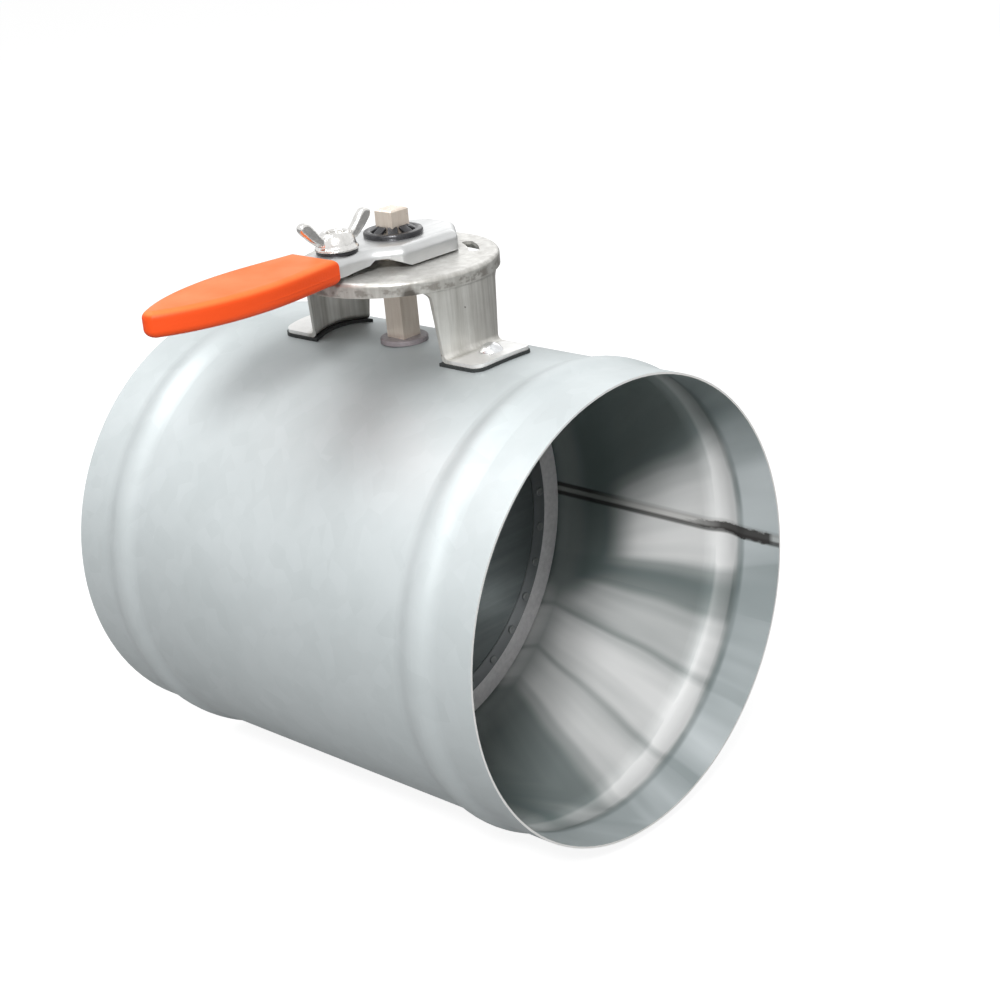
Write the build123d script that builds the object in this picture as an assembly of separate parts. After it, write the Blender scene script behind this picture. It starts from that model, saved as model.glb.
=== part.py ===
from build123d import *
import os
from math import atan, cos, degrees, radians, sin

# Sizes are millimetres and angles are degrees. Every piece is built about the shaft axis, which is Z,
# with the duct along X, and the finished model is moved so that the origin is the centre of the inlet end.

# Duct
duct_length = 195.0
duct_od = 159.0
duct_sheet = 0.7
bead_inset = 24.0
bead_width = 18.0
bead_height = 1.8

# Running fits and seats
running_clearance = 0.08
seat_gap = 0.1
swing_gap = 0.3

# Regulator bracket: a disc on two legs, folded from one sheet
bracket_sheet = 1.2
disc_rise = 29.75
disc_d = 70.4
disc_rim = 5.0
disc_edge_radius = 1.6
leg_step = 0.5
leg_top_half = 15.5
leg_root_radius = 3.5
foot_half = 13.2
foot_length = 14.3
foot_corner_radius = 4.5
foot_bend_radius = 2.0

# Foot gaskets and rivets
gasket_sheet = 1.1
gasket_margin = 0.5
rivet_from_leg = 6.3
rivet_shank_d = 4.0
rivet_head_d = 8.2
rivet_head_height = 2.6
rivet_tail_d = 5.6
rivet_tail_length = 3.0
rivet_tail_chamfer = 1.1
rivet_hole_gap = 0.1

# Shaft and bushes
shaft_side = 8.0
shaft_above_lever = 8.9
shaft_chamfer = 0.5
shaft_below_nut = 2.4
bush_barrel_d = 13.5
bush_flange_d = 16.6
bush_flange_thickness = 1.7
bush_edge_radius = 0.6
bush_inner_reach = 0.4

# Toothed push nuts
push_nut_d = 20.4
push_nut_rim_height = 1.9
push_nut_rim_width = 2.7
push_nut_edge = 0.5
push_nut_sheet = 0.9
push_nut_dish = 1.3
push_nut_teeth = 8
push_nut_slot = 1.5

# Lever
lever_gap = 0.8
lever_sheet = 1.5
lever_depth = 6.85
lever_bend_radius = 3.0
head_half = 16.4
head_back = 14.0
head_end = 23.5
head_end_half = 6.0
head_front = -11.0
neck_half = 9.0
neck_y = -20.0
tail_half = 8.0
tail_start = -27.0
tail_end = -92.0
tail_depth = 6.3
corner_radius = 3.0
neck_radius = 9.0
notch_back = -8.5
notch_back_top = -15.5
notch_front_top = -18.8
notch_front = -20.6
notch_step = 1.2
notch_end = -30.0
notch_cover = 3.5

# Grip
grip_from_bolt = 9.6
grip_start_half = 10.9
grip_widest_y = -67.0
grip_half = 14.2
grip_tip_y = -105.6
grip_tip_half = 2.5
grip_tip_bulge = 0.6
grip_start_flare = 0.12
grip_tip_taper = 0.75
grip_cover = 1.2
grip_arch = -0.3
grip_droop = 0.6
grip_depth = 8.6
grip_edge_radius = 2.6

# Lock bolt, washer and wing nut
lock_inset = 9.2
lock_sweep = 90.0
lock_bolt_d = 6.0
lock_bolt_chamfer = 0.6
lock_slot_gap = 0.3
lock_slot_overrun = 2.0
lock_head_d = 13.0
lock_head_height = 3.0
lock_neck_height = 1.6
lock_washer_d = 14.0
lock_washer_thickness = 1.0
wing_base_d = 14.8
wing_base_thickness = 1.0
wing_base_radius = 0.3
wing_body_d = 12.4
wing_body_top_d = 9.8
wing_body_height = 5.0
wing_body_radius = 0.6
wing_low = 1.8
wing_root_x = 7.5
wing_root_low = 2.5
wing_root_high = 4.7
wing_half_span = 14.6
wing_tip_low = 8.9
wing_top = 11.2
wing_top_start = 9.9
wing_top_end = 13.3
wing_thickness = 2.6
wing_edge_radius = 0.6
wing_turn = 5.0
bolt_below_nut_top = 0.8

# Window slot in the disc
window_inset = 8.6
window_width = 3.8
window_start = 42.0
window_sweep = 25.0

# Blade
blade_wall_gap = 9.8
blade_sheet = 1.0
blade_rim_width = 6.0
blade_step = 1.0
blade_step_run_per_rise = 1.6
seal_thickness = 2.0
seal_overlap = 5.0
seal_wall_gap = 0.7
blade_rivets = 30
blade_rivet_inset = 2.5
blade_rivet_d = 2.6
blade_rivet_head_d = 3.2
blade_rivet_head_height = 0.5
blade_rivet_edge_radius = 0.3

# Straps that hold the blade on the shaft
strap_sheet = 1.5
strap_z = 35.0
strap_height = 16.0
strap_half = 16.5
strap_corner_radius = 3.0
strap_bolt_y = 10.6
strap_bolt_d = 5.0
strap_bolt_head_d = 9.0
strap_bolt_head_height = 3.0
strap_nut_across_flats = 8.0
strap_nut_height = 4.0
strap_bolt_end = 1.2

# Places worked out from the sizes above; a through cut is longer than the whole damper
through = 2 * duct_length
duct_r = duct_od / 2
bore_r = duct_r - duct_sheet
rivet_hole_r = rivet_shank_d / 2 + rivet_hole_gap
bead_turn = 2 * degrees(atan(2 * bead_height / bead_width))
bead_arc_r = bead_width / (4 * sin(radians(bead_turn)))
bead_x = duct_length / 2 - bead_inset
foot_low = duct_r + gasket_sheet
foot_top = foot_low + bracket_sheet
disc_r = disc_d / 2
disc_top = duct_r + disc_rise
disc_low = disc_top - bracket_sheet
rim_low = disc_top - disc_rim
leg_r = disc_r - leg_step
foot_reach = leg_r + foot_length
rivet_x = leg_r + rivet_from_leg
lock_radius = disc_r - lock_inset
window_radius = disc_r - window_inset
grip_start = -(lock_radius + grip_from_bolt)
shaft_r = shaft_side / 2
disc_hole_r = shaft_r * 2 ** 0.5 + swing_gap
lever_low = disc_top + lever_gap
lever_top = lever_low + lever_depth
bush_flange_low = duct_r + seat_gap
bush_flange_top = bush_flange_low + bush_flange_thickness
bush_low = bore_r - bush_inner_reach
shaft_top = lever_top + shaft_above_lever
shaft_low = -(bush_flange_top + push_nut_rim_height + shaft_below_nut)
lock_slot_width = lock_bolt_d + 2 * lock_slot_gap
lock_bolt_r = lock_bolt_d / 2
washer_top = lever_top + lock_washer_thickness
wing_nut_top = washer_top + wing_base_thickness + wing_body_height
blade_r = bore_r - blade_wall_gap
blade_dish_r = blade_r - blade_rim_width
blade_rivet_ring_r = blade_r - blade_rivet_inset
blade_front = -shaft_r
blade_rim_front = blade_front - blade_step
seal_front = blade_rim_front - blade_sheet
seal_back = seal_front - seal_thickness
blade_back = blade_front - 2 * blade_sheet
seal_outer_r = bore_r - seal_wall_gap
seal_inner_r = blade_r - seal_overlap
blade_rivet_turns = [(number + 0.5) * 360 / blade_rivets for number in range(blade_rivets)]
strap_foot_front = blade_front + strap_sheet


def standing_cylinder(radius, low, high):
    return Pos(0, 0, low) * Cylinder(radius, high - low, align=(Align.CENTER, Align.CENTER, Align.MIN))


def lying_cylinder(radius, length):
    return Rot(0, 90, 0) * Cylinder(radius, length)


def ring_profile(points):
    # A closed outline of (radius, height) points, turned about the Z axis
    return revolve(make_face(Polyline([(r, 0, z) for r, z in points], close=True)), Axis.Z)


def bead_arcs(middle, offset):
    # The three tangent arcs of one bead, from foot to foot, on a surface this far under the outer one
    crest_r = bead_arc_r - offset
    foot_r = bead_arc_r + offset
    crest_z = duct_r + bead_height - bead_arc_r
    foot_z = duct_r + bead_arc_r

    def crest(turn):
        return (middle + crest_r * sin(radians(turn)), 0, crest_z + crest_r * cos(radians(turn)))

    def foot(side, turn):
        foot_x = middle + side * (bead_width / 2 - foot_r * sin(radians(turn)))
        return (foot_x, 0, foot_z - foot_r * cos(radians(turn)))

    rise = ThreePointArc(foot(-1, 0), foot(-1, bead_turn / 2), foot(-1, bead_turn))
    top = ThreePointArc(crest(-bead_turn), crest(0), crest(bead_turn))
    fall = ThreePointArc(foot(1, bead_turn), foot(1, bead_turn / 2), foot(1, 0))
    return [rise, top, fall]


def wall_line(offset):
    # The duct wall's section on one surface, from the inlet end to the outlet end
    r = duct_r - offset
    end_x = duct_length / 2
    bead_end = bead_x + bead_width / 2
    bead_start = bead_x - bead_width / 2
    first = Line((-end_x, 0, r), (-bead_end, 0, r))
    middle = Line((-bead_start, 0, r), (bead_start, 0, r))
    last = Line((bead_end, 0, r), (end_x, 0, r))
    return [first] + bead_arcs(-bead_x, offset) + [middle] + bead_arcs(bead_x, offset) + [last]


def duct_shell():
    end_x = duct_length / 2
    left_end = Line((-end_x, 0, bore_r), (-end_x, 0, duct_r))
    right_end = Line((end_x, 0, bore_r), (end_x, 0, duct_r))
    section = make_face(wall_line(0) + wall_line(duct_sheet) + [left_end, right_end])
    shell = revolve(section, Axis.X)
    shell -= Cylinder(bush_barrel_d / 2 + running_clearance, through)
    for side in (-1, 1):
        shell -= Pos(side * rivet_x, 0, 0) * standing_cylinder(rivet_hole_r, 0, through)
    return shell


def curved_pad(low_r, high_r, inner_r, outer_r, half_width, corner):
    # A pad that lies on the duct's curve, between two circles about the shaft
    plan = Pos(outer_r, 0) * Rectangle(2 * outer_r, 2 * half_width)
    plan &= Circle(outer_r)
    plan -= Circle(inner_r)
    plan = fillet(plan.vertices().group_by(Axis.X)[-1], corner)
    block = extrude(plan, high_r)
    return block & (lying_cylinder(high_r, through) - lying_cylinder(low_r, through))


def edge_through(shape, x, z):
    # The edge whose middle lies at this place over the duct's middle line
    place = Vector(x, 0, z)
    return shape.edges().sort_by(lambda edge: (edge @ 0.5 - place).length)[0]


def bracket_leg():
    # The sheet follows the disc's circle and narrows from a wide root to the foot
    root_half = leg_top_half + leg_root_radius + bracket_sheet
    inside_low = foot_low - bracket_sheet
    outline = make_face(Polyline([
        (0, -root_half, rim_low + bracket_sheet),
        (0, root_half, rim_low + bracket_sheet),
        (0, root_half, rim_low),
        (0, leg_top_half, rim_low),
        (0, foot_half, foot_top),
        (0, foot_half, inside_low),
        (0, -foot_half, inside_low),
        (0, -foot_half, foot_top),
        (0, -leg_top_half, rim_low),
        (0, -root_half, rim_low),
    ], close=True))
    roots = [v for v in outline.vertices() if v.Z == rim_low and abs(v.Y) == leg_top_half]
    outline = fillet(roots, leg_root_radius)
    sheet = standing_cylinder(leg_r, 0, disc_low) - standing_cylinder(leg_r - bracket_sheet, 0, disc_low)
    leg = sheet & extrude(outline, amount=disc_d, dir=(1, 0, 0))
    leg -= lying_cylinder(foot_low, through)
    leg += curved_pad(foot_low, foot_top, leg_r - bracket_sheet, foot_reach, foot_half, foot_corner_radius)
    leg = fillet(edge_through(leg, leg_r, foot_top), foot_bend_radius)
    return fillet(edge_through(leg, leg_r - bracket_sheet, foot_low), foot_bend_radius)


def arc_slot(radius, width, start, sweep):
    return extrude(SlotArc(CenterArc((0, 0), radius, start, sweep), width), through)


def regulator_bracket():
    disc = standing_cylinder(disc_r, rim_low, disc_top)
    disc = fillet(disc.edges().group_by(Axis.Z)[-1], disc_edge_radius)
    hollow = standing_cylinder(disc_r - bracket_sheet, rim_low, disc_low)
    hollow = fillet(hollow.edges().group_by(Axis.Z)[-1], disc_edge_radius - bracket_sheet)
    bracket = disc - hollow
    leg = bracket_leg() - Pos(rivet_x, 0, 0) * standing_cylinder(rivet_hole_r, 0, through)
    for turn in (0, 180):
        bracket += Rot(0, 0, turn) * leg
    bracket -= standing_cylinder(disc_hole_r, rim_low, disc_top)
    overrun = degrees(lock_slot_overrun / lock_radius)
    slot_start = 270 - lock_sweep - overrun
    bracket -= arc_slot(lock_radius, lock_slot_width, slot_start, lock_sweep + 2 * overrun)
    bracket -= arc_slot(window_radius, window_width, window_start, window_sweep)
    return bracket


def foot_gasket(turn):
    inner_r = leg_r - bracket_sheet - gasket_margin
    outer_r = foot_reach + gasket_margin
    corner = foot_corner_radius + gasket_margin
    pad = curved_pad(duct_r, foot_low, inner_r, outer_r, foot_half + gasket_margin, corner)
    pad -= Pos(rivet_x, 0, 0) * standing_cylinder(rivet_hole_r, 0, through)
    return Rot(0, 0, turn) * pad


def dome(radius, height):
    # A spherical cap that stands on the XY plane
    ball_r = (radius ** 2 + height ** 2) / (2 * height)
    return (Pos(0, 0, height - ball_r) * Sphere(ball_r)) & standing_cylinder(radius, 0, height)


def foot_rivet(side):
    # The edge of the squashed tail touches the curved wall
    tail_r = rivet_tail_d / 2
    tail_top = (bore_r ** 2 - tail_r ** 2) ** 0.5
    shank = standing_cylinder(rivet_shank_d / 2, tail_top - rivet_tail_length, foot_top)
    head = Pos(0, 0, foot_top) * dome(rivet_head_d / 2, rivet_head_height)
    tail = standing_cylinder(tail_r, tail_top - rivet_tail_length, tail_top)
    tail = chamfer(tail.edges().group_by(Axis.Z)[0], rivet_tail_chamfer)
    return Pos(side * rivet_x, 0, 0) * (shank + head + tail)


def damper_shaft():
    shaft = Pos(0, 0, shaft_low) * Box(
        shaft_side, shaft_side, shaft_top - shaft_low, align=(Align.CENTER, Align.CENTER, Align.MIN)
    )
    ends = shaft.edges().filter_by(Axis.Z, reverse=True)
    return chamfer(ends, shaft_chamfer)


def square_hole():
    return Box(shaft_side, shaft_side, through)


def upper_bush():
    bush = standing_cylinder(bush_barrel_d / 2, bush_low, bush_flange_top)
    flange = standing_cylinder(bush_flange_d / 2, bush_flange_low, bush_flange_top)
    flange = fillet(flange.edges().group_by(Axis.Z)[-1], bush_edge_radius)
    return bush + flange - square_hole()


def push_nut(seat):
    # A flat rim and a dished web, slotted into teeth that bite the square shaft
    rim_r = push_nut_d / 2
    web_r = rim_r - push_nut_rim_width
    web_low = push_nut_rim_height - push_nut_sheet
    nut = ring_profile([
        (0, web_low + push_nut_dish),
        (web_r, 0),
        (rim_r, 0),
        (rim_r, push_nut_rim_height - push_nut_edge),
        (rim_r - push_nut_edge, push_nut_rim_height),
        (web_r, push_nut_rim_height),
        (0, push_nut_rim_height + push_nut_dish),
    ])
    slot_length = web_r - shaft_r
    slot = Pos(shaft_r + slot_length / 2, 0, 0) * Box(slot_length, push_nut_slot, through)
    for number in range(push_nut_teeth):
        nut -= Rot(0, 0, (number + 0.5) * 360 / push_nut_teeth) * slot
    return Pos(0, 0, seat) * (nut - square_hole())


def lever_plan(inset):
    # The lever seen from above, with all its edges moved in by the inset
    right = [
        (head_end_half, head_end),
        (head_half, head_back),
        (head_half, head_front),
        (neck_half, neck_y),
        (tail_half, tail_start),
        (tail_half, tail_end),
    ]
    left = [(-x, y) for x, y in reversed(right)]
    plan = make_face(Polyline(right + left, close=True))
    plan = fillet(plan.vertices().filter_by(lambda v: v.Y in (neck_y, tail_start)), neck_radius)
    corner_rows = (head_end, head_back, head_front, tail_end)
    plan = fillet(plan.vertices().filter_by(lambda v: v.Y in corner_rows), corner_radius)
    if inset:
        plan = offset(plan, -inset, kind=Kind.ARC)
    return plan


def lever():
    skin = Pos(0, 0, lever_low) * extrude(lever_plan(0), lever_depth)
    skin = fillet(skin.edges().group_by(Axis.Z)[-1], lever_bend_radius)
    inside = Pos(0, 0, lever_low) * extrude(lever_plan(lever_sheet), lever_depth - lever_sheet)
    inside = fillet(inside.edges().group_by(Axis.Z)[-1], lever_bend_radius - lever_sheet)
    notch_top = lever_top - notch_cover
    tail_low = lever_top - tail_depth
    below = lever_low - lever_sheet
    notch = make_face(Polyline([
        (0, notch_back, below),
        (0, notch_back, lever_low),
        (0, notch_back_top, notch_top),
        (0, notch_front_top, notch_top),
        (0, notch_front, tail_low + notch_step),
        (0, notch_end, tail_low),
        (0, tail_end - lever_depth, tail_low),
        (0, tail_end - lever_depth, below),
    ], close=True))
    body = skin - inside - extrude(notch, amount=through, dir=(1, 0, 0), both=True)
    body -= square_hole()
    return body - Pos(0, -lock_radius, 0) * standing_cylinder(lock_bolt_r + seat_gap, lever_low, lever_top)


def grip_outline():
    # Half a leaf shape on each side of the lever's middle line
    start = (grip_start_half, grip_start)
    widest = (grip_half, grip_widest_y)
    tip = (grip_tip_half, grip_tip_y)
    side = Spline([start, widest, tip], tangents=[(grip_start_flare, -1), (-grip_tip_taper, -1)])
    other = mirror(side, Plane.YZ)
    front = Line(start, (-start[0], start[1]))
    nose = ThreePointArc(tip, (0, grip_tip_y - grip_tip_bulge), (-tip[0], tip[1]))
    return make_face([side, other, front, nose])


def lever_grip():
    start_top = lever_top + grip_cover
    tip_top = start_top - grip_droop
    arch_top = start_top + grip_arch
    points = [grip_start, (grip_start + grip_tip_y) / 2, grip_tip_y - grip_tip_half]
    crown = ThreePointArc((0, points[0], start_top), (0, points[1], arch_top), (0, points[2], tip_top))
    sole = Pos(0, 0, -grip_depth) * crown
    front = Line(crown @ 0, sole @ 0)
    nose = Line(crown @ 1, sole @ 1)
    slab = extrude(make_face([crown, sole, front, nose]), amount=through, dir=(1, 0, 0), both=True)
    grip = slab & extrude(grip_outline(), through)
    grip = fillet(grip.edges().filter_by(Axis.Z, reverse=True), grip_edge_radius)
    return grip - lever()


def lock_bolt():
    # A round head under the disc, a square neck in the slot and a threaded end
    head_top = disc_low - seat_gap
    bolt = standing_cylinder(lock_bolt_r, head_top, wing_nut_top - bolt_below_nut_top)
    bolt = chamfer(bolt.edges().group_by(Axis.Z)[-1], lock_bolt_chamfer)
    head = Pos(0, 0, head_top) * Rot(180, 0, 0) * dome(lock_head_d / 2, lock_head_height)
    neck = Pos(0, 0, head_top) * Box(
        lock_bolt_d, lock_bolt_d, lock_neck_height, align=(Align.CENTER, Align.CENTER, Align.MIN)
    )
    return Pos(0, -lock_radius, 0) * (bolt + head + neck)


def lock_washer():
    washer = standing_cylinder(lock_washer_d / 2, lever_top, washer_top)
    return Pos(0, -lock_radius, 0) * (washer - standing_cylinder(lock_bolt_r + swing_gap, lever_top, washer_top))


def wing_nut():
    base = standing_cylinder(wing_base_d / 2, 0, wing_base_thickness)
    base = fillet(base.edges().group_by(Axis.Z)[-1], wing_base_radius)
    body = Pos(0, 0, wing_base_thickness) * Cone(
        wing_body_d / 2, wing_body_top_d / 2, wing_body_height, align=(Align.CENTER, Align.CENTER, Align.MIN)
    )
    body = fillet(body.edges().group_by(Axis.Z)[-1], wing_body_radius)
    wing = make_face(Polyline([
        (lock_bolt_r, 0, wing_low),
        (wing_root_x, 0, wing_root_low),
        (wing_half_span, 0, wing_tip_low),
        (wing_top_end, 0, wing_top),
        (wing_top_start, 0, wing_top),
        (lock_bolt_r, 0, wing_root_high),
    ], close=True))
    ear = extrude(wing, amount=wing_thickness / 2, dir=(0, 1, 0), both=True)
    outer = ear.edges().filter_by(Axis.Y, reverse=True).filter_by(lambda e: (e @ 0.5).X > wing_body_d / 2)
    ear = fillet(outer, wing_edge_radius)
    nut = base + body + ear + Rot(0, 0, 180) * ear
    nut -= standing_cylinder(lock_bolt_r + running_clearance, 0, wing_top)
    return Pos(0, -lock_radius, washer_top) * Rot(0, 0, 90 - wing_turn) * nut


def pressed_disc(front_x, rim_x):
    # A disc of sheet with a flat middle and a flat rim, joined by a sloping step
    foot_r = blade_dish_r - blade_step_run_per_rise * (front_x - rim_x)
    face = make_face(Polyline([
        (front_x, 0, 0),
        (front_x, 0, foot_r),
        (rim_x, 0, blade_dish_r),
        (rim_x, 0, blade_r),
        (rim_x - blade_sheet, 0, blade_r),
        (rim_x - blade_sheet, 0, blade_dish_r),
        (front_x - blade_sheet, 0, foot_r),
        (front_x - blade_sheet, 0, 0),
    ], close=True))
    disc = revolve(face, Axis.X)
    for y in (-strap_bolt_y, strap_bolt_y):
        for z in (-strap_z, strap_z):
            disc -= Pos(0, y, z) * lying_cylinder(strap_bolt_d / 2, through)
    return disc - blade_rivet_holes()


def around_rim(shape):
    # Copies of a shape at every rivet of the blade's rim
    first = Pos(0, 0, blade_rivet_ring_r) * shape
    return [Rot(turn, 0, 0) * first for turn in blade_rivet_turns]


def blade_rivet_holes():
    return around_rim(lying_cylinder(blade_rivet_d / 2, through))


def blade_front_disc():
    return pressed_disc(blade_front, blade_rim_front)


def blade_back_disc():
    return pressed_disc(blade_front - blade_sheet, seal_back)


def blade_seal():
    middle = Pos((seal_front + seal_back) / 2, 0, 0)
    ring = lying_cylinder(seal_outer_r, seal_thickness) - lying_cylinder(seal_inner_r, seal_thickness)
    return middle * ring - blade_rivet_holes()


def blade_rivet():
    # One small rivet with a flat round head on each side of the blade's rim
    back = seal_back - blade_sheet
    grip = blade_rim_front - back
    body = lying_cylinder(blade_rivet_d / 2, grip)
    head = Cylinder(blade_rivet_head_d / 2, blade_rivet_head_height)
    head = fillet(head.edges().group_by(Axis.Z)[-1], blade_rivet_edge_radius)
    reach = (grip + blade_rivet_head_height) / 2
    front_head = Pos(reach, 0, 0) * Rot(0, 90, 0) * head
    back_head = Pos(-reach, 0, 0) * Rot(0, -90, 0) * head
    return Pos((blade_rim_front + back) / 2, 0, 0) * (body + front_head + back_head)


def blade_rivet_set():
    return Compound(around_rim(blade_rivet()))


def strap_section():
    # A hat section that wraps three sides of the shaft and lies on the blade
    out = shaft_r + strap_sheet
    return make_face(Polyline([
        (blade_front, shaft_r),
        (shaft_r, shaft_r),
        (shaft_r, -shaft_r),
        (blade_front, -shaft_r),
        (blade_front, -strap_half),
        (strap_foot_front, -strap_half),
        (strap_foot_front, -out),
        (out, -out),
        (out, out),
        (strap_foot_front, out),
        (strap_foot_front, strap_half),
        (blade_front, strap_half),
    ], close=True))


def shaft_strap(middle_z):
    strap = Pos(0, 0, middle_z - strap_height / 2) * extrude(strap_section(), strap_height)
    corners = strap.edges().filter_by(Axis.X).group_by(Axis.Y)
    strap = fillet(corners[0] + corners[-1], strap_corner_radius)
    for y in (-strap_bolt_y, strap_bolt_y):
        strap -= Pos(0, y, middle_z) * lying_cylinder(strap_bolt_d / 2, through)
    return strap


def strap_bolt(y, z):
    end = blade_back - strap_nut_height - strap_bolt_end
    shank = Pos((strap_foot_front + end) / 2, 0, 0) * lying_cylinder(strap_bolt_d / 2, strap_foot_front - end)
    head = Pos(strap_foot_front, 0, 0) * Rot(0, 90, 0) * dome(strap_bolt_head_d / 2, strap_bolt_head_height)
    return Pos(0, y, z) * (shank + head)


def strap_nut(y, z):
    hexagon = RegularPolygon(strap_nut_across_flats / 2, 6, major_radius=False)
    nut = extrude(hexagon, strap_nut_height) - Cylinder(strap_bolt_d / 2, through)
    return Pos(blade_back, y, z) * Rot(0, -90, 0) * nut


def at_strap_bolts(make):
    places = [(y, z) for z in (-strap_z, strap_z) for y in (-strap_bolt_y, strap_bolt_y)]
    return Compound([make(y, z) for y, z in places])


def turned_over(shape):
    return Rot(180, 0, 0) * shape


def pieces():
    return {
        "duct_shell": duct_shell(),
        "regulator_bracket": regulator_bracket(),
        "outlet_foot_gasket": foot_gasket(0),
        "inlet_foot_gasket": foot_gasket(180),
        "outlet_foot_rivet": foot_rivet(1),
        "inlet_foot_rivet": foot_rivet(-1),
        "damper_shaft": damper_shaft(),
        "upper_bush": upper_bush(),
        "lower_bush": turned_over(upper_bush()),
        "upper_push_nut": push_nut(lever_top),
        "lower_push_nut": turned_over(push_nut(bush_flange_top)),
        "lever": lever(),
        "lever_grip": lever_grip(),
        "lock_bolt": lock_bolt(),
        "lock_washer": lock_washer(),
        "wing_nut": wing_nut(),
        "blade_front_disc": blade_front_disc(),
        "blade_back_disc": blade_back_disc(),
        "blade_seal": blade_seal(),
        "blade_rivets": blade_rivet_set(),
        "upper_shaft_strap": shaft_strap(strap_z),
        "lower_shaft_strap": shaft_strap(-strap_z),
        "strap_bolts": at_strap_bolts(strap_bolt),
        "strap_nuts": at_strap_bolts(strap_nut),
    }


os.makedirs("parts", exist_ok=True)
for name, shape in pieces().items():
    export_step(Pos(duct_length / 2, 0, 0) * shape, f"parts/{name}.step")
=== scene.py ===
import bmesh
import bpy
from math import pi, radians
from mathutils import Matrix, Vector


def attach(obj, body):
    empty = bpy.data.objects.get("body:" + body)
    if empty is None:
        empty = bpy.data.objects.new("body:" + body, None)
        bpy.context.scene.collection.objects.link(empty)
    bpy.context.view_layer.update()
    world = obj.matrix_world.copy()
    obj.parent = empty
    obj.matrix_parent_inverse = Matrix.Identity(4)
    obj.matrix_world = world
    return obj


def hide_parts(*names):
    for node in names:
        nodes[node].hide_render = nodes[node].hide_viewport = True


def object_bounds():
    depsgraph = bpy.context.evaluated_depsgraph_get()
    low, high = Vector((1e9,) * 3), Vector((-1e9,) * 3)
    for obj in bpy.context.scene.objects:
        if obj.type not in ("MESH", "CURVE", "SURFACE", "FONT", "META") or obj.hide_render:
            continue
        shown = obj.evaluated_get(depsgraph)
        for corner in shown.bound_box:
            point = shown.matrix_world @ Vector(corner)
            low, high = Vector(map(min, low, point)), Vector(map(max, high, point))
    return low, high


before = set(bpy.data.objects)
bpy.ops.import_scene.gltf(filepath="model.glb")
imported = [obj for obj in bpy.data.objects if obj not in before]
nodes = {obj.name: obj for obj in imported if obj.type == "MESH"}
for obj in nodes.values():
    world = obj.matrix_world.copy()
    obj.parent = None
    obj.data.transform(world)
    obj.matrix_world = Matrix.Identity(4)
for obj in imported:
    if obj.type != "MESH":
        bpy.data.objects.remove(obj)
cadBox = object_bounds()

# Sizes are metres. The duct runs along X and the shaft stands at this X.
shaftX = 0.0975
ductR = 0.0795
noiseReach = (0.3, 0.7)  # nearly all of a noise lies between these two


# Node trees: put adds one node, and the others are short names for common ones
def put(tree, kind, inputs=None, **settings):
    node = tree.nodes.new("ShaderNode" + kind)
    for key, value in settings.items():
        setattr(node, key, value)
    for key, value in (inputs or {}).items():
        if isinstance(value, bpy.types.NodeSocket):
            tree.links.new(value, node.inputs[key])
        else:
            node.inputs[key].default_value = value
    return node


def calc(tree, operation, first, second=0.0):
    return put(tree, "Math", {0: first, 1: second}, operation=operation).outputs[0]


def share(tree, first, second):
    return calc(tree, "MULTIPLY", first, second)


def total(tree, first, second):
    return calc(tree, "ADD", first, second)


def minus(tree, first, second):
    return calc(tree, "SUBTRACT", first, second)


def largest(tree, first, second):
    return calc(tree, "MAXIMUM", first, second)


def away(tree, value, middle):
    return calc(tree, "ABSOLUTE", minus(tree, value, middle))


def without(tree, value, amount):
    return share(tree, value, minus(tree, 1.0, amount))


def between(tree, amount, first, second):
    return total(tree, without(tree, first, amount), share(tree, second, amount))


def spread(tree, value, fromLow, fromHigh, toLow=0.0, toHigh=1.0, smooth=False):
    reach = {0: value, 1: fromLow, 2: fromHigh, 3: toLow, 4: toHigh}
    return put(tree, "MapRange", reach, interpolation_type="SMOOTHSTEP" if smooth else "LINEAR").outputs[0]


def levels(tree, value, stops):
    low, high = stops[0][0], stops[-1][0]
    node = put(tree, "ValToRGB", {0: spread(tree, value, low, high)})
    node.color_ramp.interpolation = "EASE"
    points = node.color_ramp.elements
    for place, level in stops[1:-1]:
        points.new((place - low) / (high - low)).color = color(level, level, level)
    for end in (0, -1):
        points[end].color = color(stops[end][1], stops[end][1], stops[end][1])
    return node.outputs[0]


def point(tree, x, y, z=0.0):
    return put(tree, "CombineXYZ", {0: x, 1: y, 2: z}).outputs[0]


def parts(tree, place):
    return put(tree, "SeparateXYZ", {0: place}).outputs


def scaled(tree, place, scale):
    return put(tree, "Mapping", {"Vector": place, "Scale": scale}).outputs[0]


def objectPlace(tree, scale=(1, 1, 1)):
    return scaled(tree, put(tree, "TexCoord").outputs["Object"], scale)


def distance(tree, place, middle):
    return put(tree, "VectorMath", {0: place, 1: middle}, operation="DISTANCE").outputs["Value"]


def fromAxis(tree, first, second):
    squares = total(tree, calc(tree, "POWER", first, 2.0), calc(tree, "POWER", second, 2.0))
    return calc(tree, "SQRT", squares)


def noise(tree, place, scale, detail=3.0, rough=0.5, low=0.0, high=1.0):
    node = put(tree, "TexNoise", {"Vector": place, "Scale": scale, "Detail": detail, "Roughness": rough})
    return spread(tree, node.outputs["Fac"], *noiseReach, low, high)


def relief(tree, height, depth):
    return put(tree, "Bump", {"Height": height, "Distance": depth, "Strength": 1.0}).outputs[0]


def color(red, green, blue):
    return (red, green, blue, 1.0)


def blendColor(tree, amount, first, second, how="MIX"):
    node = put(tree, "Mix", {0: amount, 6: first, 7: second}, data_type="RGBA", blend_type=how)
    return node.outputs[2]


def newFinish(name, metallic, roughness, **sockets):
    finish = bpy.data.materials.new(name)
    finish.use_nodes = True
    tree = finish.node_tree
    shader = tree.nodes["Principled BSDF"]
    shader.inputs["Metallic"].default_value = metallic
    shader.inputs["Roughness"].default_value = roughness
    for key, value in sockets.items():
        shader.inputs[key.replace("_", " ")].default_value = value
    return finish, tree, shader


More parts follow.
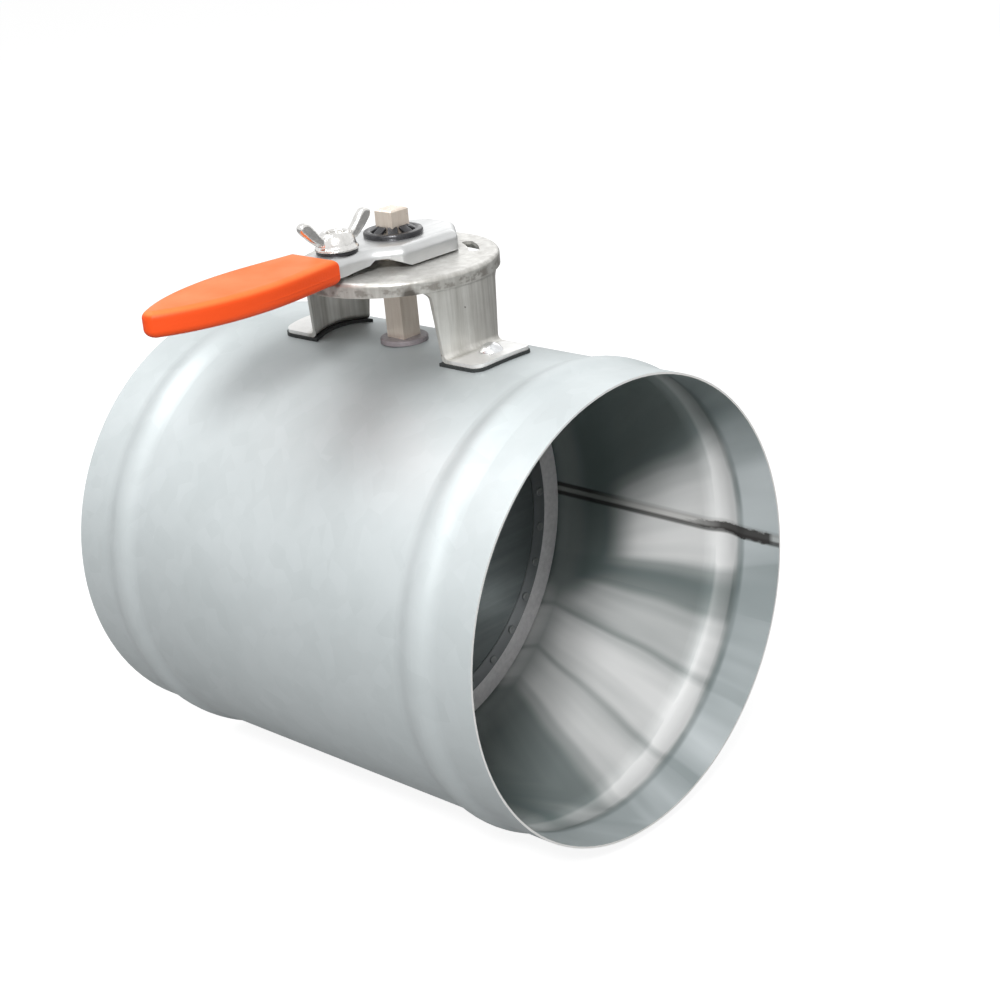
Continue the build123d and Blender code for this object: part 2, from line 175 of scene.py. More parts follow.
def feed(tree, shader, socket, value):
    tree.links.new(value, shader.inputs[socket])


def dress(finish, *names):
    for name in names:
        piece = nodes[name]
        piece.data.materials.clear()
        piece.data.materials.append(finish)


# Sleeve, inside. Depths are millimetres along the duct from the shaft, and slopes are degrees above the
# level, seen from the duct's end. A fan value is the slope from fanMiddle with the widening taken out.
# The wall's levels are painted light: 0 gives the wall in painted shade, 1 the wall in painted light.
innerLook = {
    "shadedWall": color(0.15, 0.19, 0.187),
    "bright": color(0.94, 0.945, 0.94),
    "fanMiddle": -24.0,
    "fanBelow": (1.0, 0.01),  # width at the blade, and what each millimetre adds
    "fanAbove": (0.75, 0.0201),
    "fanStops": (
        (-60, 0.10), (-39, 0.12), (-35.5, 0.45), (-33, 0.8), (-28, 0.82), (-25, 0.72), (-23.8, 0.42),
        (-22.5, 0.8), (-18, 1.0), (-14, 0.85), (-12.3, 0.72), (-11.2, 0.3), (-9.8, 0.55), (-6, 0.68),
        (-2.5, 0.5), (-0.5, 0.16), (2.5, 0.07), (4.5, 0.24), (6.5, 0.82), (9, 1.0), (13, 0.95),
        (16, 0.9), (17.6, 0.72), (19.3, 0.62), (21.2, 0.34), (23.8, 0.07), (60, 0.0),
    ),
    "streakScale": (0.014, 0.26),
    "streak": 0.1,
    "streakFull": 2.0,
    "wanderScale": (0.018, 0.04),
    "wander": 0.7,
    "startDepth": (-10.0, 6.0, -2.0, 21.0),  # two fan values, and the depths where the patches start there
    "startWander": 3.0,
    "startFade": (-5.0, 13.0, 0.04, 1.0),
    "frontY": (0.004, -0.02),
    "frontSlope": (-75.0, -50.0),
    "bladeGlow": (1.0, 11.0, 0.12, 0.0),
    "beadDepth": 73.5,
    "beadHalf": (3.1, 4.7),
    "beadHighlightLift": (0.16, 0.18),
    "lipDepth": (78.0, 82.0),
    "lipShare": 0.75,
    "lipFan": (20.5, 26.0, 0.42, 0.1),
    "lipStreak": 0.6,
    "lipTint": color(0.84, 0.95, 1.0),
    "lipTintShare": 0.5,
    "flankDepth": 80.5,
    "flankHalf": (0.4, 2.6),
    "flankScale": (0.1, 0.06),
    "flankLayer": 3.0,
    "flankShadeBlot": (0.15, 0.75),
}


def innerWall(tree, x, y, z):
    # painted light: soft bright patches of painted reflection fan out from the blade to the rim over a wall
    # painted in shade, with a painted highlight band along the bead
    look = innerLook
    depth = share(tree, away(tree, x, shaftX), 1000.0)
    slope = share(tree, calc(tree, "ARCTAN2", z, calc(tree, "ABSOLUTE", y)), 180 / pi)
    off = minus(tree, slope, look["fanMiddle"])
    above = calc(tree, "GREATER_THAN", off, 0.0)
    widths = []
    for start, growth in (look["fanBelow"], look["fanAbove"]):
        widths.append(total(tree, share(tree, depth, growth), start))
    widthBelow, widthAbove = widths
    width = total(tree, widthBelow, share(tree, above, minus(tree, widthAbove, widthBelow)))
    fan = calc(tree, "DIVIDE", off, width)

    along, across = look["streakScale"]
    streakPlace = point(tree, share(tree, depth, along), share(tree, fan, across), above)
    streak = noise(tree, streakPlace, 1.0, 1.5, low=-look["streak"], high=look["streak"])
    along, across = look["wanderScale"]
    wanderPlace = point(tree, share(tree, depth, along), share(tree, slope, across))
    wander = noise(tree, wanderPlace, 1.0, 1.0, low=-look["wander"], high=look["wander"])
    level = levels(tree, total(tree, fan, wander), look["fanStops"])
    streaked = calc(tree, "MINIMUM", share(tree, level, look["streakFull"]), 1.0)
    level = total(tree, level, share(tree, streak, streaked))
    start = total(tree, spread(tree, fan, *look["startDepth"]), share(tree, wander, look["startWander"]))
    lit = spread(tree, minus(tree, depth, start), *look["startFade"], smooth=True)
    # painted shade: the lower wall on the front side stays dark
    front = spread(tree, y, *look["frontY"], smooth=True)
    front = share(tree, front, spread(tree, slope, *look["frontSlope"], 1.0, 0.0))
    level = without(tree, share(tree, level, lit), front)
    # painted light: the wall is lightened just in front of the blade
    level = total(tree, level, spread(tree, depth, *look["bladeGlow"], smooth=True))

    # painted highlight: the bead is a little lighter; the lip beyond it is a little duller in painted
    # shade, and bluer
    bead = spread(tree, away(tree, depth, look["beadDepth"]), *look["beadHalf"], 1.0, 0.0, smooth=True)
    lipLevel = spread(tree, fan, *look["lipFan"], smooth=True)
    lipLevel = largest(tree, share(tree, level, look["lipShare"]), lipLevel)
    lip = spread(tree, depth, *look["lipDepth"], smooth=True)
    level = between(tree, lip, level, total(tree, lipLevel, share(tree, streak, look["lipStreak"])))
    growth, lift = look["beadHighlightLift"]
    level = total(tree, level, share(tree, bead, total(tree, share(tree, level, growth), lift)))

    # painted shade: a blotchy dark line runs along the bead's outer flank
    along, across = look["flankScale"]
    blotPlace = point(tree, share(tree, depth, along), share(tree, slope, across), look["flankLayer"])
    low, high = look["flankShadeBlot"]
    shadeBlot = noise(tree, blotPlace, 1.0, 2.0, low=low, high=high)
    flank = spread(tree, away(tree, depth, look["flankDepth"]), *look["flankHalf"], 1.0, 0.0, smooth=True)
    level = without(tree, level, share(tree, flank, shadeBlot))
    wall = blendColor(tree, level, look["shadedWall"], look["bright"])
    tinted = blendColor(tree, share(tree, lip, look["lipTintShare"]), wall, look["lipTint"], "MULTIPLY")
    return depth, level, tinted


# Seam: heights are metres, and depths are millimetres as above
seamLook = {
    "middleZ": -0.0027,
    "strip": color(0.42, 0.385, 0.34),
    "stripShare": 0.3,
    "stripHalf": (0.0014, 0.0021),
    "line": color(0.015, 0.014, 0.013),
    "lineShare": 0.95,
    "lineHalf": (0.0005, 0.0013),
    "lineOff": 0.00175,
    "upperFade": (10.0, 28.0, 1.0, 0.22),
    "lowerFade": (10.0, 40.0, 1.0, 0.8),
    "burnt": color(0.03, 0.027, 0.026),
    "burntShare": 0.93,
    "burntOff": -0.0003,
    "burntHalf": (56.0, 80.0, 0.0004, 0.0021),
    "burntStart": (54.0, 71.0),
    "burntEnd": (93.0, 95.0),
    "burntEdge": (-0.0003, 0.0004),
    "raggedScale": (240.0, 420.0, 1.0),
    "ragged": 0.0008,
}


def seam(tree, skin, depth, flat, y, z):
    # two dark lines that start strong at the blade, then a burnt run near the rim
    look = seamLook
    farSide = calc(tree, "GREATER_THAN", y, 0.0)
    off = minus(tree, z, look["middleZ"])
    strip = spread(tree, calc(tree, "ABSOLUTE", off), *look["stripHalf"], 1.0, 0.0)
    strip = share(tree, strip, farSide)
    lines = []
    for place, fade in ((look["lineOff"], look["upperFade"]), (-look["lineOff"], look["lowerFade"])):
        line = spread(tree, away(tree, off, place), *look["lineHalf"], 1.0, 0.0)
        lines.append(share(tree, line, spread(tree, depth, *fade)))
    line = share(tree, largest(tree, *lines), farSide)

    raggedPlace = scaled(tree, flat, look["raggedScale"])
    ragged = noise(tree, raggedPlace, 1.0, 4.0, 0.6, -look["ragged"], look["ragged"])
    burntHalf = total(tree, ragged, spread(tree, depth, *look["burntHalf"]))
    burnt = spread(tree, minus(tree, burntHalf, away(tree, off, look["burntOff"])), *look["burntEdge"])
    burnt = share(tree, burnt, spread(tree, depth, *look["burntStart"]))
    burnt = share(tree, burnt, spread(tree, depth, *look["burntEnd"], 1.0, 0.0))
    burnt = share(tree, burnt, farSide)
    skin = blendColor(tree, share(tree, strip, look["stripShare"]), skin, look["strip"])
    skin = blendColor(tree, share(tree, line, look["lineShare"]), skin, look["line"])
    return line, burnt, blendColor(tree, share(tree, burnt, look["burntShare"]), skin, look["burnt"])


# Sleeve as a whole: galvanised sheet with smudges, faint spangles and a rolled grain
sleeveLook = {
    "outside": color(0.6, 0.645, 0.655),
    "outsideDull": color(0.51, 0.555, 0.562),
    "smudgeScale": 22.0,
    "smudgeShare": 0.6,
    "spangleScale": 150.0,
    "spangleShare": 0.3,
    "bracketShade": color(0.1, 0.11, 0.11),
    "bracketShadeShare": 0.36,
    "bracketShadeMiddle": (shaftX, -0.012, ductR),
    "bracketShadeReach": (0.02, 0.085),
    "edge": color(0.9, 0.9, 0.88),
    "edgeFacing": 0.9,
    "metallic": (0.22, 0.4),  # inside, outside
    "outsideRough": (0.46, 0.58),
    "insideRough": (0.42, 0.3),
    "burntRough": 0.8,
    "grainScale": (1500.0, 40.0, 1.0),
    "grainHeight": 0.15,
    "smudgeHeight": 0.4,
    "relief": 0.00006,
}


def sleeveFinish():
    look = sleeveLook
    finish, tree, shader = newFinish("galvanisedSheet", look["metallic"][1], look["outsideRough"][0])
    coord = put(tree, "TexCoord")
    x, y, z = parts(tree, coord.outputs["Object"])
    # the sheet unrolled, cut at the seam
    turned = calc(tree, "ARCTAN2", minus(tree, seamLook["middleZ"], z), share(tree, y, -1.0))
    flat = point(tree, x, share(tree, turned, ductR))
    # outside faces point away from the duct's axis, and the cut edges along it
    normal = parts(tree, coord.outputs["Normal"])
    facing = total(tree, share(tree, normal[1], y), share(tree, normal[2], z))
    outside = calc(tree, "GREATER_THAN", facing, 0.0)
    cut = calc(tree, "GREATER_THAN", calc(tree, "ABSOLUTE", normal[0]), look["edgeFacing"])

    smudge = noise(tree, flat, look["smudgeScale"], 4.0, 0.55)
    cells = put(tree, "TexVoronoi", {"Vector": flat, "Scale": look["spangleScale"], "Randomness": 1.0})
    cellTone = put(tree, "SeparateColor", {0: cells.outputs["Color"]}).outputs[0]
    spangle = spread(tree, cellTone, 0.0, 1.0, 0.0, look["spangleShare"])
    outTone = total(tree, share(tree, smudge, look["smudgeShare"]), spangle)
    outColor = blendColor(tree, outTone, look["outside"], look["outsideDull"])
    # painted shade: the zinc is darkened round the bracket, where the bracket and lever shade it
    fromShaft = distance(tree, coord.outputs["Object"], look["bracketShadeMiddle"])
    bracketShade = spread(tree, fromShaft, *look["bracketShadeReach"], look["bracketShadeShare"], 0.0, smooth=True)
    outColor = blendColor(tree, bracketShade, outColor, look["bracketShade"])

    depth, level, inColor = innerWall(tree, x, y, z)
    line, burnt, seamed = seam(tree, blendColor(tree, outside, inColor, outColor), depth, flat, y, z)
    # the cut edges are painted pale: bare cut steel, brightened further as a painted highlight
    feed(tree, shader, "Base Color", blendColor(tree, cut, seamed, look["edge"]))
    feed(tree, shader, "Metallic", spread(tree, outside, 0.0, 1.0, *look["metallic"]))

    outRough = spread(tree, smudge, 0.0, 1.0, *look["outsideRough"])
    inRough = spread(tree, level, 0.0, 1.0, *look["insideRough"])
    rough = between(tree, outside, inRough, outRough)
    feed(tree, shader, "Roughness", largest(tree, rough, share(tree, burnt, look["burntRough"])))
    grain = noise(tree, scaled(tree, flat, look["grainScale"]), 1.0, 2.0)
    height = minus(tree, share(tree, smudge, look["smudgeHeight"]), line)
    height = total(tree, share(tree, grain, look["grainHeight"]), height)
    feed(tree, shader, "Normal", relief(tree, height, look["relief"]))
    return finish


dress(sleeveFinish(), "duct_shell")
print("sleeve dressed")


# Bracket, lever and blade sheet: rolled steel with streaks, blotches and dark specks
speckLook = {
    "color": color(0.09, 0.08, 0.07),
    "scale": 330.0,
    "reach": (0.70, 0.76),
}


def sheetFinish(name, look):
    finish, tree, shader = newFinish(name, look["metallic"], look["roughness"])
    streak = noise(tree, objectPlace(tree, look["streakScale"]), 1.0, 4.0, 0.6)
    blotch = noise(tree, objectPlace(tree), look["blotchScale"], 4.0, 0.6)
    speckPlace = objectPlace(tree)
    speckInputs = {"Vector": speckPlace, "Scale": speckLook["scale"], "Detail": 3.0, "Roughness": 0.6}
    speck = put(tree, "TexNoise", speckInputs).outputs["Fac"]
    dirt = spread(tree, speck, *speckLook["reach"], 0.0, look["specks"])
    base = blendColor(tree, streak, look["light"], look["dark"])
    base = blendColor(tree, share(tree, blotch, look["blotchShare"]), base, look["stain"])
    base = blendColor(tree, dirt, base, speckLook["color"])
    if "wearAndLight" in look:
        base = look["wearAndLight"](tree, base, look)
    feed(tree, shader, "Base Color", base)
    rough = spread(tree, streak, 0.0, 1.0, look["roughness"] - 0.06, look["roughness"] + 0.08)
    feed(tree, shader, "Roughness", rough)
    feed(tree, shader, "Normal", relief(tree, total(tree, streak, blotch), look["relief"]))
    return finish


def bracketWearAndLight(tree, base, look):
    # painted light: the feet and the disc top are paler, as if lit from above; dark press marks round the
    # rim and a nick at the near leg's root
    place = objectPlace(tree)
    x, y, z = parts(tree, place)
    foot = spread(tree, fromAxis(tree, minus(tree, x, shaftX), y), *look["footRadius"])
    top = share(tree, spread(tree, z, *look["topZ"]), look["topShare"])
    litPale = share(tree, largest(tree, foot, top), look["litPaleShare"])
    base = blendColor(tree, litPale, base, look["litPale"])
    rim = share(tree, spread(tree, z, *look["rimLowZ"]), spread(tree, z, *look["rimHighZ"], 1.0, 0.0))
    uneven = noise(tree, objectPlace(tree, look["markScale"]), 1.0, 3.0, 0.6, -1.0, 2.0)
    marks = without(tree, share(tree, rim, spread(tree, uneven, *look["markReach"])), foot)
    base = blendColor(tree, marks, base, look["mark"])
    nickOff = distance(tree, place, look["nickMiddle"])
    nickOff = total(tree, nickOff, share(tree, uneven, look["nickUneven"]))
    return blendColor(tree, spread(tree, nickOff, *look["nickReach"]), base, look["nick"])


bracketLook = {
    "metallic": 0.6,
    "roughness": 0.38,
    "light": color(0.72, 0.715, 0.68),
    "dark": color(0.39, 0.38, 0.35),
    "stain": color(0.27, 0.255, 0.23),
    "streakScale": (300.0, 300.0, 18.0),
    "blotchScale": 60.0,
    "blotchShare": 0.4,
    "specks": 0.8,
    "relief": 0.00008,
    "wearAndLight": bracketWearAndLight,
    "litPale": color(0.84, 0.84, 0.83),
    "litPaleShare": 0.8,
    "footRadius": (0.0362, 0.0385),
    "topZ": (0.1082, 0.1092),
    "topShare": 0.3,
    "mark": color(0.16, 0.14, 0.12),
    "markScale": (230.0, 230.0, 330.0),
    "markReach": (0.3, 1.1, 0.0, 0.6),
    "rimLowZ": (0.1044, 0.1049),
    "rimHighZ": (0.1068, 0.1078),
    "nick": color(0.06, 0.05, 0.04),
    "nickMiddle": (shaftX + 0.027, -0.0215, 0.1043),
    "nickUneven": 0.0006,
    "nickReach": (0.0018, 0.0034, 0.85, 0.0),
}

leverLook = {
    "metallic": 0.85,
    "roughness": 0.37,
    "light": color(0.72, 0.73, 0.73),
    "dark": color(0.55, 0.56, 0.565),
    "stain": color(0.46, 0.46, 0.45),
    "streakScale": (260.0, 30.0, 120.0),
    "blotchScale": 45.0,
    "blotchShare": 0.4,
    "specks": 0.35,
    "relief": 0.00005,
}


def bladeWear(tree, base, look):
    # the flat rim round the rivets is paler than the dished middle
    place = parts(tree, objectPlace(tree))
    rim = spread(tree, fromAxis(tree, place[1], place[2]), *look["rimRadius"], 0.0, look["rimShare"])
    return blendColor(tree, rim, base, look["rim"])


# painted shade: the blade sheet, and the shaft straps that share it, get near-black steel colours that
# stand in for the shade deep inside the duct
bladeLook = {
    "metallic": 0.8,
    "roughness": 0.42,
    "light": color(0.125, 0.14, 0.142),
    "dark": color(0.095, 0.108, 0.11),
    "stain": color(0.08, 0.09, 0.09),
    "streakScale": (60.0, 14.0, 240.0),
    "blotchScale": 30.0,
    "blotchShare": 0.5,
    "specks": 0.2,
    "relief": 0.00005,
    "wearAndLight": bladeWear,
    "rim": color(0.27, 0.275, 0.285),
    "rimRadius": (0.0615, 0.064),
    "rimShare": 0.6,
}

bladeSheet = sheetFinish("bladeSheet", bladeLook)
dress(sheetFinish("bracketSteel", bracketLook), "regulator_bracket")
dress(sheetFinish("leverSteel", leverLook), "lever")
dress(bladeSheet, "blade_front_disc", "blade_back_disc", "upper_shaft_strap", "lower_shaft_strap")
print("sheet metal dressed")


# Small metal, rubber and plastic pieces, each a mottle of two tones
def smallFinish(name, look):
    finish, tree, shader = newFinish(name, look["metallic"], look["roughness"])
    tone = noise(tree, objectPlace(tree, look.get("stretch", (1, 1, 1))), look["scale"], 4.0, 0.6)
    low, high = look["roughness"] - look["sway"], look["roughness"] + look["sway"]
    feed(tree, shader, "Base Color", blendColor(tree, tone, look["light"], look["dark"]))
    feed(tree, shader, "Roughness", spread(tree, tone, 0.0, 1.0, low, high))
    feed(tree, shader, "Normal", relief(tree, tone, look["relief"]))
    return finish


rubberLook = {
    "light": color(0.022, 0.026, 0.026), "dark": color(0.012, 0.014, 0.014),
    "metallic": 0.0, "roughness": 0.75, "sway": 0.08, "scale": 900.0, "relief": 0.00006,
}
rivetLook = {
    "light": color(0.88, 0.89, 0.9), "dark": color(0.7, 0.71, 0.72),
    "metallic": 1.0, "roughness": 0.22, "sway": 0.08, "scale": 500.0, "relief": 0.00004,
}
rimRivetLook = {
    "light": color(0.27, 0.28, 0.28), "dark": color(0.18, 0.19, 0.19),
    "metallic": 0.5, "roughness": 0.4, "sway": 0.08, "scale": 600.0, "relief": 0.00004,
}
shaftLook = {
    "light": color(0.88, 0.79, 0.69), "dark": color(0.72, 0.62, 0.53), "stretch": (500.0, 500.0, 60.0),
    "metallic": 0.6, "roughness": 0.34, "sway": 0.1, "scale": 1.0, "relief": 0.00006,
}
bushLook = {
    "light": color(0.225, 0.2, 0.21), "dark": color(0.18, 0.16, 0.168),
    "metallic": 0.0, "roughness": 0.5, "sway": 0.06, "scale": 700.0, "relief": 0.00003,
}
darkSteelLook = {
    "light": color(0.06, 0.06, 0.064), "dark": color(0.03, 0.03, 0.033),
    "metallic": 0.6, "roughness": 0.3, "sway": 0.1, "scale": 420.0, "relief": 0.00005,
}
platingLook = {
    "light": color(0.84, 0.83, 0.81), "dark": color(0.66, 0.65, 0.63),
    "metallic": 1.0, "roughness": 0.2, "sway": 0.07, "scale": 380.0, "relief": 0.00007,
}
sealLook = {
    "light": color(0.74, 0.72, 0.725), "dark": color(0.6, 0.585, 0.59),
    "metallic": 0.0, "roughness": 0.6, "sway": 0.06, "scale": 500.0, "relief": 0.00004,
}

darkSteelFinish = smallFinish("darkSpringSteel", darkSteelLook)
platingFinish = smallFinish("brightPlating", platingLook)
dress(smallFinish("gasketRubber", rubberLook), "outlet_foot_gasket", "inlet_foot_gasket")
dress(smallFinish("rivetMetal", rivetLook), "outlet_foot_rivet", "inlet_foot_rivet")
dress(smallFinish("rimRivetMetal", rimRivetLook), "blade_rivets")
dress(smallFinish("shaftPlating", shaftLook), "damper_shaft")
dress(smallFinish("bushPlastic", bushLook), "upper_bush", "lower_bush")
dress(darkSteelFinish, "upper_push_nut", "lower_push_nut", "lock_washer")
dress(platingFinish, "wing_nut", "lock_bolt", "strap_bolts", "strap_nuts")
dress(smallFinish("sealRubber", sealLook), "blade_seal")
print("small pieces dressed")


# Orange grip with a soft mould crease that fades towards the tip; faces that turn away from above are
# painted a deeper orange as painted shade
gripLook = {
    "top": color(0.97, 0.24, 0.07),
    "shade": color(0.94, 0.19, 0.045),
    "side": color(0.86, 0.085, 0.014),
    "shadeFacing": (0.25, 0.8),
    "gloss": 0.2,
    "rough": (0.42, 0.52),
    "toneScale": 60.0,
    "pebbleScale": 1400.0,
    "pebbleHeight": 0.15,
    "relief": 0.00012,
    "creaseZ": 0.1128,
    "creaseHalf": 0.0005,
    "creaseFade": (-0.078, -0.062, 0.12, 0.8),
}


def gripFinish():
    look = gripLook
    finish, tree, shader = newFinish("gripPlastic", 0.0, look["rough"][0], Specular_IOR_Level=look["gloss"])
    place = objectPlace(tree)
    along = parts(tree, place)
    tone = noise(tree, place, look["toneScale"])
    pebble = noise(tree, place, look["pebbleScale"], 2.0)
    crease = spread(tree, away(tree, along[2], look["creaseZ"]), 0.0, look["creaseHalf"], 1.0, 0.0)
    crease = share(tree, crease, spread(tree, along[1], *look["creaseFade"]))
    upward = parts(tree, put(tree, "TexCoord").outputs["Normal"])[2]
    # painted shade: faces that turn away from above get the deeper side orange
    side = spread(tree, upward, *look["shadeFacing"], 1.0, 0.0, smooth=True)
    body = blendColor(tree, tone, look["top"], look["shade"])
    feed(tree, shader, "Base Color", blendColor(tree, side, body, look["side"]))
    feed(tree, shader, "Roughness", spread(tree, tone, 0.0, 1.0, *look["rough"]))
    height = total(tree, share(tree, pebble, look["pebbleHeight"]), crease)
    feed(tree, shader, "Normal", relief(tree, height, look["relief"]))
    return finish


dress(gripFinish(), "lever_grip")
print("grip dressed")


# Pieces that are shaped here: the cast wing nut and the pronged push nuts
ringSteps = 64
edgeSteps = 3
mergeReach = 0.000001


def spunRing(shape, profile):
    corners = [shape.verts.new((out, 0.0, up)) for out, up in profile]
    sides = [shape.edges.new(pair) for pair in zip(corners, corners[1:] + corners[:1])]
    bmesh.ops.spin(
        shape, geom=corners + sides, axis=(0, 0, 1), cent=(0, 0, 0),
        angle=2 * pi, steps=ringSteps, use_merge=True,
    )


def platedOutline(shape, outline, thickness, edge):
    # a flat outline in the XZ plane, made as thick as asked about Y, with rounded edges
    face = shape.faces.new([shape.verts.new((x, -thickness / 2, z)) for x, z in outline])
    grown = bmesh.ops.extrude_face_region(shape, geom=[face])["geom"]
    moved = [part for part in grown if isinstance(part, bmesh.types.BMVert)]
    bmesh.ops.translate(shape, verts=moved, vec=(0, thickness, 0))
    ends = list(face.edges) + [part for part in grown if isinstance(part, bmesh.types.BMEdge)]
    bmesh.ops.bevel(
        shape, geom=ends, offset=edge, segments=edgeSteps, profile=0.5, affect="EDGES", material=-1
    )


def turnAboutZ(shape, verts, angle):
    bmesh.ops.rotate(shape, verts=verts, cent=(0, 0, 0), matrix=Matrix.Rotation(angle, 3, "Z"))


def platesRound(shape, outline, thickness, edge, count):
    # the same plate again and again, evenly about Z
    plate = bmesh.new()
    platedOutline(plate, outline, thickness, edge)
    pattern = bpy.data.meshes.new("plate")
    plate.to_mesh(pattern)
    plate.free()
    for number in range(count):
        before = len(shape.verts)
        shape.from_mesh(pattern)
        turnAboutZ(shape, list(shape.verts)[before:], 2 * pi * number / count)
    bpy.data.meshes.remove(pattern)


def finished(shape, name, finish):
    bmesh.ops.remove_doubles(shape, verts=shape.verts, dist=mergeReach)
    bmesh.ops.recalc_face_normals(shape, faces=shape.faces)
    mesh = bpy.data.meshes.new(name)
    shape.to_mesh(mesh)
    shape.free()
    for face in mesh.polygons:
        face.use_smooth = True
    piece = bpy.data.objects.new(name, mesh)
    bpy.context.scene.collection.objects.link(piece)
    mesh.materials.append(finish)
    return piece


wingNutShape = {
    "middle": (shaftX, -0.026, 0.1179),
    "turn": 85.0,
    "collar": (
        (0.00315, 0.0), (0.0071, 0.0), (0.0074, 0.0004), (0.0073, 0.0010),
        (0.0066, 0.0015), (0.0064, 0.0027), (0.0060, 0.0041), (0.0053, 0.0053),
        (0.0044, 0.0060), (0.0036, 0.0061), (0.00315, 0.0057),
    ),
    "wing": (
        (0.0041, 0.0018), (0.0078, 0.0024), (0.0112, 0.0052), (0.0139, 0.0080),
        (0.01455, 0.0093), (0.0142, 0.0106), (0.0130, 0.0112), (0.0114, 0.0111),
        (0.0100, 0.0099), (0.0079, 0.0072), (0.0062, 0.0054), (0.0041, 0.0050),
    ),
    "wings": 2,
    "thickness": 0.0033,
    "edge": 0.0006,
    "grain": 0.00026,
    "smoothing": 5,
}


def castWingNut(finish):
    look = wingNutShape
    shape = bmesh.new()
    spunRing(shape, look["collar"])
    platesRound(shape, look["wing"], look["thickness"], look["edge"], look["wings"])
    turnAboutZ(shape, shape.verts, radians(look["turn"]))
    bmesh.ops.translate(shape, verts=shape.verts, vec=look["middle"])
    rough = finished(shape, "wingNutRough", finish)
    # one skin over collar and wings, then smoothed as a casting
    remesh = rough.modifiers.new("skin", "REMESH")
    remesh.mode = "VOXEL"
    remesh.voxel_size = look["grain"]
    ready = bpy.data.meshes.new_from_object(rough.evaluated_get(bpy.context.evaluated_depsgraph_get()))
    skin = bmesh.new()
    skin.from_mesh(ready)
    bpy.data.objects.remove(rough)
    bpy.data.meshes.remove(ready)
    for step in range(look["smoothing"]):
        bmesh.ops.smooth_vert(
            skin, verts=skin.verts, factor=0.5, use_axis_x=True, use_axis_y=True, use_axis_z=True
        )
    return finished(skin, "castWingNut", finish)


wingNut = castWingNut(platingFinish)
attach(wingNut, "nut")
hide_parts("wing_nut")


pushNutShape = {
    "upperSeat": 0.1169,
    "lowerSeat": -0.0813,
    "rim": (
        (0.0072, 0.0), (0.0101, 0.0), (0.0102, 0.0004), (0.0102, 0.0012), (0.0099, 0.0017),
        (0.0093, 0.0019), (0.0084, 0.0019), (0.0076, 0.0017), (0.0072, 0.0012),
    ),
    "prong": (
        (0.0079, 0.0006), (0.0079, 0.0016), (0.0066, 0.0024),
        (0.0047, 0.0034), (0.0043, 0.0027), (0.0060, 0.0015),
    ),
    "prongs": 8,
    "prongWidth": 0.0034,
    "prongEdge": 0.0002,
    "sharpAngle": 40.0,
}


def prongedPushNut(name, seat, side, finish):
    look = pushNutShape
    shape = bmesh.new()
    spunRing(shape, look["rim"])
    platesRound(shape, look["prong"], look["prongWidth"], look["prongEdge"], look["prongs"])
    bmesh.ops.scale(shape, verts=shape.verts, vec=(1, 1, side))
    bmesh.ops.translate(shape, verts=shape.verts, vec=(shaftX, 0.0, seat))
    piece = finished(shape, name, finish)
    piece.modifiers.new("edges", "EDGE_SPLIT").split_angle = radians(look["sharpAngle"])
    return piece


for pieceName, seat, side, node in (
    ("upperPushNut", pushNutShape["upperSeat"], 1, "upper_push_nut"),
    ("lowerPushNut", pushNutShape["lowerSeat"], -1, "lower_push_nut"),
):
    pushNut = prongedPushNut(pieceName, seat, side, darkSteelFinish)
    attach(pushNut, "blade")
    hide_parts(node)
print("nuts shaped")


# Studio: pale floor, white surroundings, soft lamps
studio = {
    "white": color(1.0, 1.0, 1.0),
    "ambient": 0.32,
    "floorDrop": 0.0002,
    "floorSize": 12.0,
    "floorColor": color(0.3, 0.3, 0.3),
    "floorSeen": 0.88,
    "floorMirrored": 0.08,
    "lampAim": (shaftX, 0.0, 0.0),
    "lamps": {
        "keyLamp": {"place": (0.89, -0.98, 0.98), "size": 0.3, "power": 22.5},
        "topLamp": {"place": (-0.5, -0.5, 1.5), "size": 0.9, "power": 9.0},
        "backLamp": {"place": (-0.55, 1.15, 0.75), "size": 0.9, "power": 2.0},
    },
}


def rayKinds(tree):
    # what the camera sees straight, and what it sees in metal
    rays = put(tree, "LightPath").outputs
    return rays["Is Camera Ray"], largest(tree, rays["Is Glossy Ray"], rays["Is Transmission Ray"])


def paleWorld():
    world = bpy.data.worlds.new("paleStudio")
    bpy.context.scene.world = world
    world.use_nodes = True
    tree = world.node_tree
    tree.nodes.clear()
    straight, mirrored = rayKinds(tree)
    level = spread(tree, largest(tree, straight, mirrored), 0.0, 1.0, studio["ambient"], 1.0)
    glow = put(tree, "Background", {"Color": studio["white"], "Strength": level})
    tree.links.new(glow.outputs[0], put(tree, "OutputWorld").inputs[0])


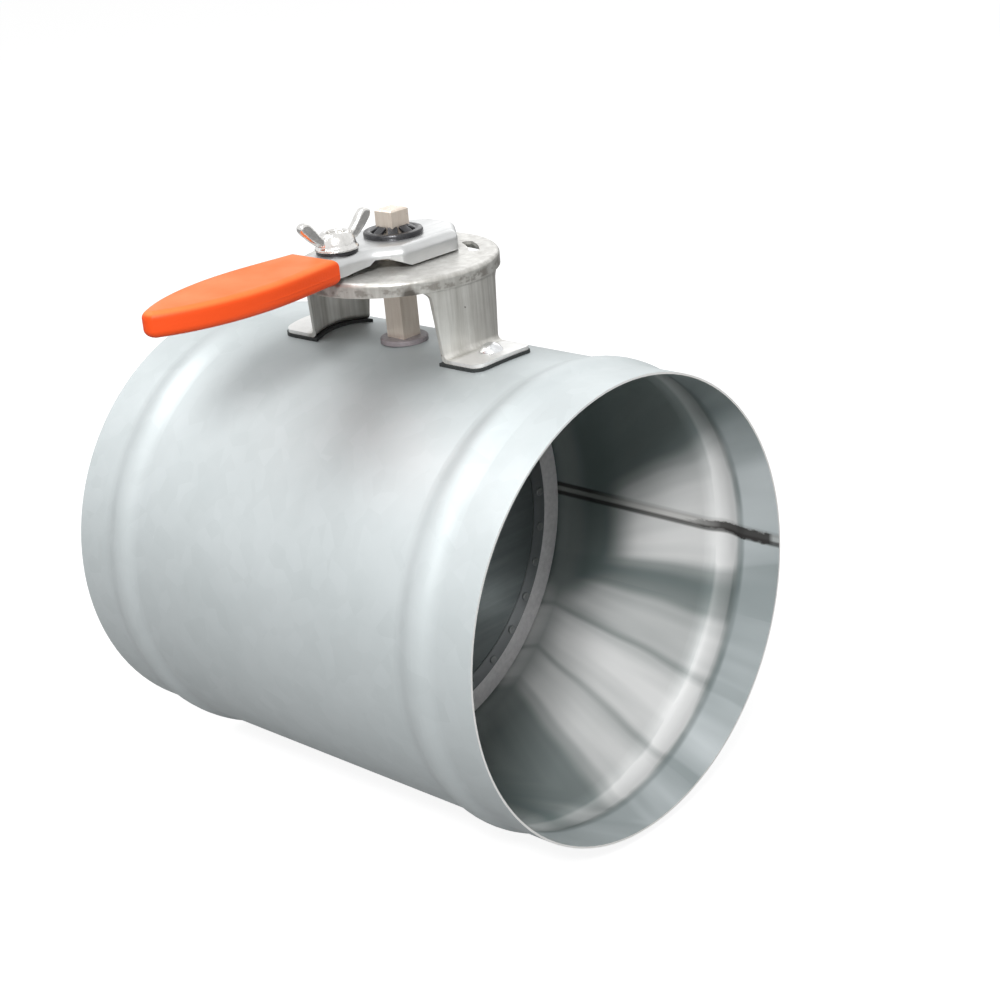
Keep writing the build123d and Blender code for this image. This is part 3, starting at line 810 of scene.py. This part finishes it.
def paleFloor():
    shape = bmesh.new()
    bmesh.ops.create_grid(shape, x_segments=1, y_segments=1, size=studio["floorSize"] / 2)
    bmesh.ops.translate(shape, verts=shape.verts, vec=(shaftX, 0.0, cadBox[0][2] - studio["floorDrop"]))
    mesh = bpy.data.meshes.new("paleFloor")
    shape.to_mesh(mesh)
    shape.free()
    floor = bpy.data.objects.new("paleFloor", mesh)
    bpy.context.scene.collection.objects.link(floor)
    finish, tree, shader = newFinish("paleFloor", 0.0, 0.9, Specular_IOR_Level=0.0)
    shader.inputs["Base Color"].default_value = studio["floorColor"]
    shader.inputs["Emission Color"].default_value = studio["white"]
    straight, mirrored = rayKinds(tree)
    straight = share(tree, straight, studio["floorSeen"])
    mirrored = share(tree, mirrored, studio["floorMirrored"])
    feed(tree, shader, "Emission Strength", total(tree, straight, mirrored))
    mesh.materials.append(finish)


def softLamp(name, place, size, power):
    lamp = bpy.data.lights.new(name, "AREA")
    lamp.shape = "SQUARE"
    lamp.size = size
    lamp.energy = power
    holder = bpy.data.objects.new(name, lamp)
    aim = Vector(studio["lampAim"]) - Vector(place)
    holder.matrix_world = Matrix.Translation(place) @ aim.to_track_quat("-Z", "Y").to_matrix().to_4x4()
    bpy.context.scene.collection.objects.link(holder)


# The camera stands where the photograph's stood, worked out from the duct's circles
cameraView = {
    "sensor": 36.0,
    "lens": 72.384,
    "nearest": 0.01,
    "place": (0.584909, -0.456843, 0.273448),
    "right": (0.733228, 0.674794, -0.083841),
    "back": (0.654129, -0.666292, 0.358008),
}


def photoCamera():
    lens = bpy.data.cameras.new("photoCamera")
    lens.sensor_width = cameraView["sensor"]
    lens.lens = cameraView["lens"]
    lens.clip_start = cameraView["nearest"]
    holder = bpy.data.objects.new("photoCamera", lens)
    right = Vector(cameraView["right"])
    back = Vector(cameraView["back"])
    turn = Matrix((right, back.cross(right), back)).transposed().to_4x4()
    holder.matrix_world = Matrix.Translation(cameraView["place"]) @ turn
    bpy.context.scene.collection.objects.link(holder)
    bpy.context.scene.camera = holder


paleWorld()
paleFloor()
for lampName, lampLook in studio["lamps"].items():
    softLamp(lampName, **lampLook)
photoCamera()
bpy.context.scene.view_settings.view_transform = "Standard"
print("studio ready")
